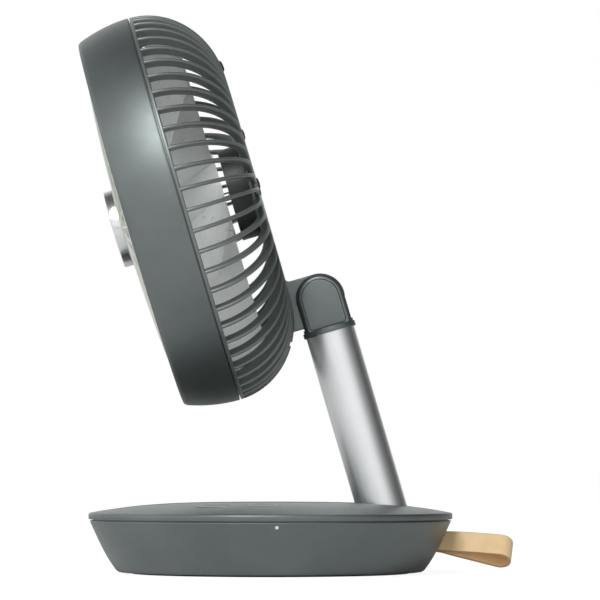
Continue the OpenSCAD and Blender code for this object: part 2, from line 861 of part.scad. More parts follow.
base_bowl();
base_top_plate();
column_trough();
bottom_cover();
foot_pad();
cover_screws();
hinge_bracket();
bracket_screws();
lower_hinge_pin();
lower_pin_clips();
lower_friction_washers();
battery_cells();
battery_trays();
control_board();
board_screws();
tact_switches();
indicator_light_pipe();
charge_socket();
pull_loop();
strap_clamp();
strap_screws();
power_button();
speed_button();
column_tube();
column_foot();
knuckle_fork();
knuckle_cover_left();
knuckle_cover_right();
motor_lead();
upper_hinge_pin();
upper_friction_washers();
head_arm();
arm_screws();
rear_grille();
front_housing();
front_grille();
hub_cap();
hub_disc();
motor_can();
motor_end_plate();
stator();
stator_coils();
motor_bearings();
motor_screws();
back_bumpers();
motor_shaft();
rotor_magnet();
impeller();
impeller_nut();
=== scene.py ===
import json
import math

import bpy
import numpy as np
from mathutils import Matrix, Vector


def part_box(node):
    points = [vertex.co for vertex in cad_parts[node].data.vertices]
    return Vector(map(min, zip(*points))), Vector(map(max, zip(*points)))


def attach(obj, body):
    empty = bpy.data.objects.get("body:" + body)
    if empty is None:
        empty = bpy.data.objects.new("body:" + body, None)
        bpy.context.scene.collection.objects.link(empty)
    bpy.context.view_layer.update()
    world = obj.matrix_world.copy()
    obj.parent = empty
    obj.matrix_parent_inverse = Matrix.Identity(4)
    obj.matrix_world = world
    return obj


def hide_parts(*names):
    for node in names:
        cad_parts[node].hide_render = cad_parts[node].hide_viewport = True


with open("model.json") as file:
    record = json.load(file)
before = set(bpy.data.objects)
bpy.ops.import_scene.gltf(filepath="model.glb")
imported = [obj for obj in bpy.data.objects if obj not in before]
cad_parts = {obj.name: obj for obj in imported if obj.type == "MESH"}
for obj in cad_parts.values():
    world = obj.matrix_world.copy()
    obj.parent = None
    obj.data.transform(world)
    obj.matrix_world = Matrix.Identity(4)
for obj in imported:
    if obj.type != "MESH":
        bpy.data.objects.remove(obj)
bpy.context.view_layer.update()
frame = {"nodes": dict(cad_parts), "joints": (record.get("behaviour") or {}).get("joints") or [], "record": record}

# ---------------------------------------------------------------- sizes, in metres

MM = 0.001
JOINTS = {j["name"]: j for j in frame["joints"]}
HINGE = Vector(JOINTS["column_fold"]["pos_m"])
PIVOT = Vector(JOINTS["head_fold"]["pos_m"])
HEAD_MID = Vector(JOINTS["fan_spin"]["pos_m"])
FRONT = Vector(JOINTS["fan_spin"]["axis"])


def half_width(node):
    """Half of a round node's width across Y, which no tilt about Y changes."""
    low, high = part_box(node)
    return (high.y - low.y) / 2


def rotation(degrees, axis):
    """A turn by so many degrees about an axis."""
    return Matrix.Rotation(math.radians(degrees), 4, axis)


def frame_at(origin, z_axis):
    """A placement whose z runs along z_axis and whose y is the part's own Y."""
    z = z_axis.normalized()
    y = Vector((0, 1, 0))
    x = y.cross(z)
    rows = Matrix((x, y, z)).transposed().to_4x4()
    return Matrix.Translation(origin) @ rows


COLUMN = frame_at(HINGE, PIVOT - HINGE)
HEAD = frame_at(HEAD_MID, -FRONT)
COLUMN_LEN = (PIVOT - HINGE).length
PIVOT_IN_HEAD = HEAD.inverted() @ PIVOT

BASE_R = half_width("base_top_plate")
BASE_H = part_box("base_top_plate")[1].z
RIM_Z = 34.7 * MM
RIM_EDGE = 3.5 * MM
PAD_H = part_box("foot_pad")[1].z
PAD_R = half_width("foot_pad")
BOWL_TOP = RIM_Z - RIM_EDGE - 0.7 * MM
FOOT_R = 88 * MM
WALL = 2.2 * MM
SLOT_HALF = 17 * MM
SLOT_FRONT = -95.2 * MM
SLOT_CORNER = 6 * MM
ABOVE_BASE = 60 * MM

TUBE_R = half_width("column_tube")
TUBE_WALL = 1.5 * MM
FOOT_CLEAR = 12.2 * MM
KNUCKLE_R = TUBE_R + 0.4 * MM
LIP_R = half_width("knuckle_fork")
KNUCKLE_ROUND = LIP_R - 0.22 * MM
LIP_LOW = COLUMN_LEN - 20.5 * MM
LIP_H = 3 * MM
FLAT = 9.3 * MM
EAR_INNER = 6.2 * MM
FORK_FLOOR = COLUMN_LEN - KNUCKLE_R - 1.1 * MM
PIN_R = 3 * MM
COVER_T = 1.2 * MM
COVER_W = 10.7 * MM
COVER_DROP = 16.9 * MM

RIM_R = half_width("rear_grille")
HOUSING_R = RIM_R + 0.1 * MM
HOUSING_DEPTH = 32.4 * MM
GRILLE_DEPTH = 43.8 * MM
SHOULDER_R = 67 * MM
RIB_DEPTH = 5.4 * MM
RIB_T = 2.2 * MM
RIB_COUNT = 59
RIM_RING_H = 2.0 * MM
PLATE_R = 38 * MM
FRONT_R = 106 * MM
FRONT_Z = -31.3 * MM
FRONT_DOME = 6.3 * MM
BRACE_R = 58.75 * MM
SPINE_HALF = 13 * MM
ARM_HALF = 4.8 * MM
CAP_R = half_width("hub_cap")
CAP_SEAT = -37.6 * MM
CAP_H = 5.4 * MM
BLADE_COUNT = 7

# ---------------------------------------------------------------- mesh helpers


def new_piece(name, points, faces, material, smooth_angle=35):
    """A mesh object with smooth shading that stays crisp over smooth_angle degrees."""
    mesh = bpy.data.meshes.new(name)
    mesh.from_pydata([tuple(p) for p in points], [], [tuple(f) for f in faces])
    mesh.validate()
    obj = bpy.data.objects.new(name, mesh)
    bpy.context.scene.collection.objects.link(obj)
    obj.data.materials.append(material)
    shade(obj, smooth_angle)
    return obj


def shade(obj, angle):
    for polygon in obj.data.polygons:
        polygon.use_smooth = True
    obj.data.set_sharp_from_angle(angle=math.radians(angle))


def install(obj, body, nodes=(), place=None, bake=False):
    """Puts the piece in its place and ties it to its CAD body and nodes.

    With bake, its mesh is moved there instead of the object.
    """
    if bake:
        obj.data.transform(place)
    elif place is not None:
        obj.matrix_world = place
    bpy.context.view_layer.update()
    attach(obj, body)
    if nodes:
        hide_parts(*nodes)


def from_point(r, z, *moves):
    """Outline points given in mm from the point (r, z); a third number is a corner's radius."""
    return [(r + move[0] * MM, z + move[1] * MM, *(extra * MM for extra in move[2:])) for move in moves]


def arc(x, y, radius, start, sweep, steps):
    """Points along an arc about (x, y), from the angle start on through sweep."""
    angles = [start + sweep * k / steps for k in range(steps + 1)]
    return [(x + radius * math.cos(t), y + radius * math.sin(t)) for t in angles]


def circle(radius, steps, x=0.0, y=0.0):
    """Outline of a circle about (x, y)."""
    return arc(x, y, radius, 0, 2 * math.pi, steps)[:-1]


def stadium(a, b, radius):
    """Outline of a slot with round ends from x = a to x = b."""
    return arc(b, 0, radius, -math.pi / 2, math.pi, 24) + arc(a, 0, radius, math.pi / 2, math.pi, 24)


def filleted(corners, steps=5):
    """Outline points from corners (x, y, radius): each corner with a radius becomes an arc."""
    points = []
    count = len(corners)
    for i, (x, y, radius) in enumerate(corners):
        here = Vector((x, y))
        if radius <= 0:
            points.append(here)
            continue
        to_last = (Vector(corners[i - 1][:2]) - here).normalized()
        to_next = (Vector(corners[(i + 1) % count][:2]) - here).normalized()
        half = to_last.angle(to_next) / 2
        reach = radius / math.tan(half)
        centre = here + (to_last + to_next).normalized() * (radius / math.sin(half))
        start = here + to_last * reach - centre
        end = here + to_next * reach - centre
        sweep = start.angle_signed(end)
        for k in range(steps + 1):
            turn = Matrix.Rotation(-sweep * k / steps, 2)
            points.append(centre + turn @ start)
    return points


def lathe(name, outline, material, steps=160, smooth_angle=30):
    """Turns a closed outline of (radius, z) round the z axis."""
    points, rings = [], []
    for radius, z in outline:
        if radius < 1e-7:
            rings.append([len(points)] * steps)
            points.append((0, 0, z))
        else:
            rings.append(list(range(len(points), len(points) + steps)))
            points += [(x, y, z) for x, y in circle(radius, steps)]
    faces = []
    for i, ring in enumerate(rings):
        following = rings[(i + 1) % len(rings)]
        if ring[0] == ring[1] and following[0] == following[1]:
            continue
        for k in range(steps):
            n = (k + 1) % steps
            face = [ring[k], ring[n], following[n], following[k]]
            face = [v for j, v in enumerate(face) if v != face[j - 1]]
            faces.append(face)
    return new_piece(name, points, outward(points, faces), material, smooth_angle)


def outward(points, faces):
    """The faces, all turned round if together they enclose a negative volume."""
    volume = 0.0
    for face in faces:
        a = Vector(points[face[0]])
        for j in range(1, len(face) - 1):
            volume += a.dot(Vector(points[face[j]]).cross(Vector(points[face[j + 1]])))
    return [face[::-1] for face in faces] if volume < 0 else faces


def loft(name, rings, material, smooth_angle=35):
    """A closed piece skinned over rings of equally many points."""
    points, faces = strip_points(rings)
    return new_piece(name, points, faces, material, smooth_angle)


def plate(name, outline, low, high, edge, material, steps=4):
    """A flat plate between two heights whose convex outline has rounded rims."""
    flat = [Vector(p) for p in outline]
    count = len(flat)
    area = sum(flat[i - 1].x * flat[i].y - flat[i].x * flat[i - 1].y for i in range(count))
    turn = 1 if area > 0 else -1
    normals = []
    for i in range(count):
        along = (flat[(i + 1) % count] - flat[i - 1]).normalized()
        normals.append(Vector((along.y, -along.x)) * turn)
    rings = []
    for end, sign in ((low, 1), (high, -1)):
        rounding = []
        for k in range(steps + 1):
            a = math.pi / 2 * k / steps
            inset = edge * (1 - math.sin(a))
            z = end + sign * edge * (1 - math.cos(a))
            rounding.append([(p.x - n.x * inset, p.y - n.y * inset, z) for p, n in zip(flat, normals)])
        rings += rounding if sign > 0 else rounding[::-1]
    return loft(name, rings, material)


def cut(obj, *cutters, operation="DIFFERENCE", smooth_angle=30):
    """Cuts the cutters out of obj, or joins them to it, and removes them."""
    for tool in cutters:
        modifier = obj.modifiers.new("cut", "BOOLEAN")
        modifier.operation = operation
        modifier.solver = "EXACT"
        modifier.object = tool
    depsgraph = bpy.context.evaluated_depsgraph_get()
    mesh = bpy.data.meshes.new_from_object(obj.evaluated_get(depsgraph))
    obj.modifiers.clear()
    obj.data = mesh
    for tool in cutters:
        bpy.data.objects.remove(tool)
    shade(obj, smooth_angle)


def cutter(rings):
    """A closed cutter over its rings; a cut face takes the material of the piece that is cut."""
    return loft("cut", rings, M["shell_plastic"])


def prism(outline, low, high):
    """A plain straight-sided cutter."""
    return cutter([[(x, y, z) for x, y in outline] for z in (low, high)])


def across(obj):
    """Turns a piece drawn in the XY plane so that its plane is XZ and its thickness runs along Y."""
    obj.data.transform(rotation(90, "X"))
    return obj


def on_edge(obj):
    """Swaps the Y and Z of a piece, which puts one drawn in the XY plane on edge."""
    obj.data.transform(Matrix(((1, 0, 0, 0), (0, 0, 1, 0), (0, 1, 0, 0), (0, 0, 0, 1))))
    obj.data.flip_normals()
    return obj


def add_mesh(points, faces, more_points, more_faces):
    """Adds a mesh to the lists of points and faces."""
    first = len(points)
    points += [tuple(p) for p in more_points]
    faces += [tuple(first + v for v in face) for face in more_faces]


def add_lathe(points, faces, outline, steps):
    """Adds a turned ring or disc to the lists of points and faces."""
    ring = lathe("temporary", outline, M["shell_plastic"], steps)
    mesh = ring.data
    add_mesh(points, faces, [v.co for v in mesh.vertices], [p.vertices for p in mesh.polygons])
    bpy.data.objects.remove(ring)


def repeated(points, faces, angles):
    """Copies of one mesh turned about the z axis."""
    all_points, all_faces = [], []
    flat = np.array(points)
    for a in angles:
        c, s = math.cos(a), math.sin(a)
        turn = np.array(((c, -s, 0), (s, c, 0), (0, 0, 1)))
        add_mesh(all_points, all_faces, flat @ turn.T, faces)
    return all_points, all_faces


def strip_points(rings):
    """Points and faces of a closed bar skinned over its section rings."""
    count = len(rings[0])
    points = [tuple(p) for ring in rings for p in ring]
    faces = []
    for i in range(len(rings) - 1):
        for k in range(count):
            n = (k + 1) % count
            faces.append((i * count + k, i * count + n, (i + 1) * count + n, (i + 1) * count + k))
    faces.append(tuple(range(count))[::-1])
    faces.append(tuple((len(rings) - 1) * count + k for k in range(count)))
    return points, outward(points, faces)


def rib_section(outer, inner):
    """Section of a rear rib between two points of its plane: a bar with round edges, its width along Y."""
    depth = (inner - outer).length
    along = (inner - outer).normalized()
    r_out, r_in = RIB_T / 2, RIB_T * 0.8 / 2
    ring = []
    for r, centre, start in ((r_out, r_out, -90), (r_in, depth - r_in, 90)):
        for k in range(7):
            t = math.radians(start + 180 * k / 6)
            p = outer + along * (centre - r * math.cos(t))
            ring.append((p.x, r * math.sin(t), p.y))
    return ring


# ---------------------------------------------------------------- materials


class Tree:
    """A short way to build a node tree."""

    def __init__(self, owner):
        owner.use_nodes = True
        self.tree = owner.node_tree

    def add(self, kind, **values):
        """A new node; each value sets a property of the node or, failing that, an input."""
        node = self.tree.nodes.new(kind)
        for key, value in values.items():
            if hasattr(node, key):
                setattr(node, key, value)
            else:
                node.inputs[key.replace("_", " ")].default_value = value
        return node

    def link(self, source, target):
        self.tree.links.new(source, target)

    def maths(self, operation, *values):
        node = self.add("ShaderNodeMath", operation=operation)
        for socket, value in zip(node.inputs, values):
            if isinstance(value, float):
                socket.default_value = value
            else:
                self.link(value, socket)
        return node.outputs[0]

    def spread(self, value, low, high, low_out=0.0, high_out=1.0):
        """The value mapped from low..high to low_out..high_out."""
        node = self.add("ShaderNodeMapRange", From_Min=low, From_Max=high, To_Min=low_out, To_Max=high_out)
        self.link(value, node.inputs["Value"])
        return node.outputs["Result"]

    def curve(self, value, stops):
        """Smooth curve through (position, brightness) stops for a value from 0 to 1."""
        ramp = self.add("ShaderNodeValToRGB")
        elements = ramp.color_ramp.elements
        ramp.color_ramp.interpolation = "EASE"
        while len(elements) < len(stops):
            elements.new(0.5)
        for element, (place, bright) in zip(elements, stops):
            element.position = place
            element.color = (bright, bright, bright, 1)
        self.link(value, ramp.inputs["Fac"])
        return ramp.outputs["Color"]

    def seen_by_camera(self, seen, otherwise, output):
        """The camera sees one shader, and the scene is lit by the other."""
        mixed = self.add("ShaderNodeMixShader")
        self.link(self.add("ShaderNodeLightPath").outputs["Is Camera Ray"], mixed.inputs["Fac"])
        self.link(otherwise, mixed.inputs[1])
        self.link(seen, mixed.inputs[2])
        self.link(mixed.outputs["Shader"], self.tree.nodes[output].inputs["Surface"])


class Nodes(Tree):
    """A short way to build a node material."""

    def __init__(self, name):
        self.material = bpy.data.materials.new(name)
        super().__init__(self.material)
        self.shader = self.tree.nodes["Principled BSDF"]
        self.coords = self.add("ShaderNodeTexCoord").outputs["Object"]

    def noise(self, scale, detail=4.0, stretch=(1, 1, 1), roughness=0.55):
        mapping = self.add("ShaderNodeMapping", Scale=stretch)
        self.link(self.coords, mapping.inputs["Vector"])
        node = self.add("ShaderNodeTexNoise", Scale=scale, Detail=detail, Roughness=roughness)
        self.link(mapping.outputs["Vector"], node.inputs["Vector"])
        return node.outputs["Fac"]

    def mix(self, factor, a, b):
        """A blend of two colours; each is a colour or a node's output."""
        node = self.add("ShaderNodeMix", data_type="RGBA")
        for socket, value in ((node.inputs[6], a), (node.inputs[7], b)):
            if isinstance(value, tuple):
                socket.default_value = (*value, 1)
            else:
                self.link(value, socket)
        self.link(factor, node.inputs[0])
        return node.outputs[2]

    def bump(self, height, strength, distance, normal=None):
        node = self.add("ShaderNodeBump", Strength=strength, Distance=distance)
        self.link(height, node.inputs["Height"])
        if normal is not None:
            self.link(normal, node.inputs["Normal"])
        return node.outputs["Normal"]

    def edges(self, low, high):
        """1 on outside edges, where the painted highlight goes."""
        geometry = self.add("ShaderNodeNewGeometry")
        return self.spread(geometry.outputs["Pointiness"], low, high)

    def set(self, **values):
        """Sets or links the surface's inputs, and returns the material."""
        for key, value in values.items():
            socket = self.shader.inputs[key.replace("_", " ")]
            if hasattr(value, "is_linked"):
                self.link(value, socket)
            else:
                socket.default_value = value
        return self.material


def moulded_plastic(name, colour, rough=0.48, grain=0.35, flake=0.0):
    """Matt moulded plastic: spark-eroded grain, faint flow mottling and outside edges lightened as a painted
    highlight.
    """
    n = Nodes(name)
    light = tuple(min(1, c * 1.06 + 0.004) for c in colour)
    dark = tuple(c * 0.94 for c in colour)
    mottle = n.mix(n.spread(n.noise(22, 5), 0.35, 0.65), dark, light)
    # Outside edges are made lighter: a painted highlight where the rounded edges catch the light.
    edge_highlight_tone = tuple(min(1, c * 1.35 + 0.01) for c in colour)
    fine = n.noise(2600, 3, roughness=0.7)
    tone = n.mix(n.spread(n.edges(0.53, 0.64), 0, 1, 0, 0.35), mottle, edge_highlight_tone)
    roughness = n.spread(n.noise(140, 4), 0.3, 0.7, rough - 0.015, rough + 0.02)
    return n.set(
        Base_Color=tone, Roughness=roughness, Normal=n.bump(fine, grain, 0.00012), IOR=1.5, Metallic=flake,
    )


def brushed_metal(name, colour, rough, along=(900, 900, 14), strength=0.12):
    """Brushed or anodised metal: fine streaks along the direction that is stretched least."""
    n = Nodes(name)
    streak = n.noise(1.0, 5, stretch=along, roughness=0.7)
    broad = n.noise(30, 3)
    dark = tuple(c * 0.9 for c in colour)
    tone = n.mix(n.spread(streak, 0.25, 0.75), dark, colour)
    roughness = n.spread(streak, 0.2, 0.8, rough - 0.05, rough + 0.07)
    tone = n.mix(n.spread(broad, 0.3, 0.7, 0, 0.25), tone, tuple(min(1, c * 1.05) for c in colour))
    return n.set(
        Base_Color=tone, Metallic=1.0, Roughness=roughness, Normal=n.bump(streak, strength, 0.00006),
    )


def plain_metal(name, colour, rough=0.35):
    """Plated or turned steel with faint stains."""
    n = Nodes(name)
    stain = n.noise(260, 5)
    tone = n.mix(n.spread(stain, 0.35, 0.7), tuple(c * 0.82 for c in colour), colour)
    roughness = n.spread(n.noise(900, 3), 0.3, 0.7, rough - 0.08, rough + 0.1)
    return n.set(
        Base_Color=tone, Metallic=1.0, Roughness=roughness, Normal=n.bump(stain, 0.08, 0.00005),
    )


def rubber(name, colour, rough=0.75):
    """Dull rubber with a little dust on it."""
    n = Nodes(name)
    dust = n.noise(60, 6)
    tone = n.mix(n.spread(dust, 0.45, 0.8), colour, tuple(c * 1.6 + 0.01 for c in colour))
    grain = n.noise(1800, 2)
    return n.set(
        Base_Color=tone, Roughness=n.spread(dust, 0.3, 0.7, rough - 0.06, rough + 0.1),
        Normal=n.bump(grain, 0.3, 0.0001),
    )


def tan_leather(name):
    """Vegetable-tanned strap: smooth pebbled face, paler flesh side, darker cut edges."""
    n = Nodes(name)
    edge = n.add("ShaderNodeAttribute", attribute_name="cut_edge").outputs["Fac"]
    pores = n.add("ShaderNodeTexVoronoi", Scale=1500)
    n.link(n.coords, pores.inputs["Vector"])
    clouds = n.noise(70, 6)
    grain = n.noise(2400, 4, roughness=0.7)
    face = n.mix(n.spread(clouds, 0.3, 0.7), (0.86, 0.58, 0.29), (0.96, 0.71, 0.41))
    face = n.mix(n.spread(grain, 0.35, 0.75, 0, 0.35), face, (0.90, 0.70, 0.44))
    tone = n.mix(n.spread(edge, 0, 1, 0, 0.7), face, (0.30, 0.15, 0.06))
    skin = n.bump(pores.outputs["Distance"], 0.25, 0.0002)
    return n.set(
        Base_Color=tone, Roughness=n.spread(clouds, 0.3, 0.7, 0.5, 0.62),
        Normal=n.bump(grain, 0.3, 0.0002, skin), Sheen_Weight=0.15,
    )


def milky_plastic(name, colour, rough=0.35, glow=0.2):
    """Pale plastic that lets a little light through."""
    n = Nodes(name)
    tone = n.mix(n.spread(n.noise(40, 4), 0.35, 0.65), tuple(c * 0.96 for c in colour), colour)
    fine = n.noise(2200, 2)
    return n.set(
        Base_Color=tone, Roughness=n.spread(n.noise(200, 3), 0.3, 0.7, rough - 0.04, rough + 0.06),
        Normal=n.bump(fine, 0.15, 0.0001), Subsurface_Weight=glow, Subsurface_Radius=(0.004, 0.004, 0.004),
        Subsurface_Scale=1.0,
    )


def make_materials():
    """One material for each slot of the record."""
    return {
        "shell_plastic": moulded_plastic(
            "shell plastic", (0.172, 0.196, 0.194), rough=0.44, grain=0.15, flake=0.85,
        ),
        "dark_plastic": moulded_plastic("dark plastic", (0.075, 0.088, 0.087), rough=0.5),
        "grille_plastic": moulded_plastic(
            "grille plastic", (0.180, 0.203, 0.198), rough=0.36, grain=0.04, flake=0.5,
        ),
        "button_plastic": moulded_plastic(
            "button plastic", (0.16, 0.18, 0.178), rough=0.36, grain=0.15, flake=0.5,
        ),
        "pale_plastic": milky_plastic("pale grille plastic", (0.70, 0.73, 0.65), rough=0.42, glow=0.1),
        "blade_plastic": milky_plastic("blade plastic", (0.90, 0.93, 0.92), rough=0.3, glow=0.3),
        "brushed_aluminium": brushed_metal("brushed aluminium", (0.88, 0.90, 0.905), 0.36, strength=0.05),
        "turned_aluminium": brushed_metal("turned aluminium", (0.82, 0.84, 0.85), 0.22, along=(60, 60, 1600)),
        "plated_steel": plain_metal("plated steel", (0.62, 0.63, 0.65)),
        "painted_steel": moulded_plastic("black coated steel", (0.022, 0.024, 0.026), rough=0.38, grain=0.15),
        "bronze_washer": plain_metal("bronze washer", (0.60, 0.42, 0.2)),
        "copper_winding": brushed_metal("enamelled copper", (0.72, 0.34, 0.16), 0.35, along=(40, 40, 3000)),
        "cell_wrap": moulded_plastic("cell wrap", (0.02, 0.14, 0.10), rough=0.25, grain=0.05),
        "circuit_board": moulded_plastic("circuit board", (0.01, 0.06, 0.025), rough=0.3, grain=0.1),
        "switch_plastic": moulded_plastic("switch plastic", (0.012, 0.012, 0.012), rough=0.45),
        "light_pipe": milky_plastic("light pipe", (0.80, 0.86, 0.90), rough=0.12, glow=0.4),
        "tan_leather": tan_leather("tan leather"),
        "rubber": rubber("rubber", (0.022, 0.022, 0.022)),
        "cable_jacket": rubber("cable jacket", (0.015, 0.015, 0.016), 0.6),
    }


M = make_materials()

# ---------------------------------------------------------------- outlines that several pieces share


def dome_z(r):
    """Height of the base's dome at a distance r from its middle."""
    return BASE_H - (BASE_H - RIM_Z) * (r / BASE_R) ** 3.5


def bowl_r(z):
    """Outer radius of the bowl at a height z."""
    down = BOWL_TOP - z
    curl = (BASE_R - FOOT_R - 13.85 * MM) * (down / BOWL_TOP) ** 4
    return BASE_R - 0.6 * MM - 0.455 * down - curl


def back_point(a, inset=0.0):
    """Point (r, z) of the rear grille's outline, a degrees round its shoulder."""
    c, s = math.cos(math.radians(a)), math.sin(math.radians(a))
    return Vector((SHOULDER_R + (RIM_R - SHOULDER_R - inset) * c, (GRILLE_DEPTH - inset) * s))


def front_point_z(r):
    """Height of the front grille's outer face at a distance r from the axis."""
    return FRONT_Z - FRONT_DOME * (1 - (r / FRONT_R) ** 2)


def housing_r(z):
    """Outer radius of the front housing at a height z."""
    return HOUSING_R - 6.2 * MM * (z / HOUSING_DEPTH) ** 2


def span(a, b, steps):
    return [a + (b - a) * k / steps for k in range(steps + 1)]


def edge_cutter(outline, normals, low, edge):
    """Cutter with a straight wall that flares out by edge where it meets the dome."""
    rings = [[(x, y, low) for x, y in outline]]
    for k in range(7):
        a = math.pi / 2 * k / 6
        out = edge * (1 - math.cos(a))
        ring = []
        for (x, y), (nx, ny) in zip(outline, normals):
            px, py = x + nx * out, y + ny * out
            ring.append((px, py, dome_z(math.hypot(px, py)) - edge * (1 - math.sin(a)) + 0.02 * MM))
        rings.append(ring)
    rings.append([(*p[:2], ABOVE_BASE) for p in rings[-1]])
    return cutter(rings)


# ---------------------------------------------------------------- base


def make_base_bowl():
    outer = [(bowl_r(z), z) for z in span(PAD_H + 0.9 * MM, BOWL_TOP - 0.5 * MM, 26)]
    foot = from_point(bowl_r(PAD_H), PAD_H, (-1.6, 0), (-0.6, 0.15))
    top = from_point(BASE_R, BOWL_TOP, (-0.9, -0.1), (-1.4, 0), (-2.6, 0), (-2.6, 2), (-4.2, 2))
    inner = [(bowl_r(z) - 2.8 * MM, z) for z in span(BOWL_TOP - 1 * MM, 7 * MM, 10)]
    floor = [(PAD_R + 0.7 * MM, 4 * MM), (PAD_R + 0.7 * MM, PAD_H)]
    bowl = lathe("base_bowl_shell", foot + outer + top + inner + floor, M["shell_plastic"], 192)
    strap = plate("cut", from_point(0, 0, (-20, -7.2), (10, -7.2), (10, 7.2), (-20, 7.2)),
                  -1.9 * MM, 1.9 * MM, 0.5 * MM, M["shell_plastic"])
    strap.data.transform(STRAP @ rotation(90, "X"))
    opening = stadium(-2.85 * MM, 2.85 * MM, 1.7 * MM)
    mouth = stadium(-2.85 * MM, 2.85 * MM, 2.9 * MM)
    socket = prism(opening, 0, 20 * MM)
    socket.data.transform(SOCKET @ Matrix.Translation((0, 0, 85 * MM)))
    flare = cutter([[(x, y, 0) for x, y in opening], [(x, y, 4 * MM) for x, y in mouth]])
    flare.data.transform(SOCKET @ Matrix.Translation((0, 0, bowl_r(16 * MM) - 1.5 * MM)))
    light = prism(circle(1.3 * MM, 32), 0, 8 * MM)
    light.data.transform(LIGHT)
    cut(bowl, strap, socket, flare, light)
    install(bowl, "base", ["base_bowl"])


def slot_outline_points():
    """Outline of the column's slot with its straight sides divided, and its outward normals."""
    bend = SLOT_FRONT + SLOT_CORNER
    forward = span(HINGE.x, bend, 34)[1:-1]
    backward = span(bend, HINGE.x, 34)[1:-1]
    points = arc(HINGE.x, 0, SLOT_HALF, -math.pi / 2, math.pi, 24) + [(x, SLOT_HALF) for x in forward]
    normals = arc(0, 0, 1, -math.pi / 2, math.pi, 24) + [(0, 1)] * len(forward)
    for side, start in ((1, math.pi / 2), (-1, math.pi)):
        points += arc(bend, side * (SLOT_HALF - SLOT_CORNER), SLOT_CORNER, start, math.pi / 2, 12)
        normals += arc(0, 0, 1, start, math.pi / 2, 12)
    points += [(x, -SLOT_HALF) for x in backward]
    normals += [(0, -1)] * len(backward)
    return points, normals


def make_top_plate():
    dome = [(r, dome_z(r)) for r in span(0, BASE_R - 0.9 * MM, 40)]
    rim = from_point(BASE_R, dome_z(BASE_R - 0.9 * MM), (-0.35, -0.2), (-0.05, -0.65), (0, -1.1))
    skirt = from_point(BASE_R, RIM_Z - RIM_EDGE, (0, 0.5), (-0.15, 0.15), (-0.5, 0), (-1.8, 0))
    under = [(r, dome_z(r) - WALL) for r in span(BASE_R - 1.8 * MM, 0, 16)]
    top = lathe("base_top_shell", dome + rim + skirt + under, M["shell_plastic"], 192)
    cutters = [edge_cutter(*slot_outline_points(), 22 * MM, 0.9 * MM)]
    for place in BUTTONS.values():
        hole = circle(BUTTON_HOLE, 72, *place.translation.xy)
        cutters.append(edge_cutter(hole, circle(1, 72), 20 * MM, 0.45 * MM))
    cut(top, *cutters)
    install(top, "base", ["base_top_plate"])


def make_buttons():
    r, dish = BUTTON_R, 0.7 * MM
    face = [(r * 0.93 * k / 14, dish * ((k / 14) ** 2 - 1) + 0.1 * MM) for k in range(15)]
    side = from_point(r, 0, (-0.42, 0.06), (-0.2, -0.06), (-0.05, -0.28), (0, -0.6))
    side += from_point(r, 0, (0, -4), (1.2, -4), (1.2, -5))
    stem = from_point(0, 0, (2, -5), (2, -9), (0, -9))
    for body, place in BUTTONS.items():
        button = lathe(body + "_cap", face + side + stem, M["button_plastic"], 96)
        install(button, body, [body], place)


def make_foot():
    outline = [(0, 0.1 * MM)]
    for r in span(14 * MM, PAD_R - 8 * MM, 9):
        outline += from_point(r, 0, (-1.4, 0.1), (-0.9, 0.35), (0.9, 0.35), (1.4, 0.1))
    outline += from_point(PAD_R, 0, (-5, 0.1), (-4, 0), (-0.4, 0), (0, 0.3))
    outline += [(PAD_R, PAD_H), (0, PAD_H)]
    pad = lathe("foot_pad_grooved", outline, M["rubber"])
    install(pad, "base", ["foot_pad"])


def make_light():
    lens = lathe("indicator_lens", from_point(
        0, 0, (0, 0), (0.6, 0.05), (0.95, 0.2), (1.2, 0.5), (1.25, 0.9), (1.25, 5.9), (0, 5.9),
    ), M["light_pipe"], 40, 40)
    place = LIGHT.copy()
    place.translation.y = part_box("indicator_light_pipe")[0].y
    install(lens, "base", ["indicator_light_pipe"], place)


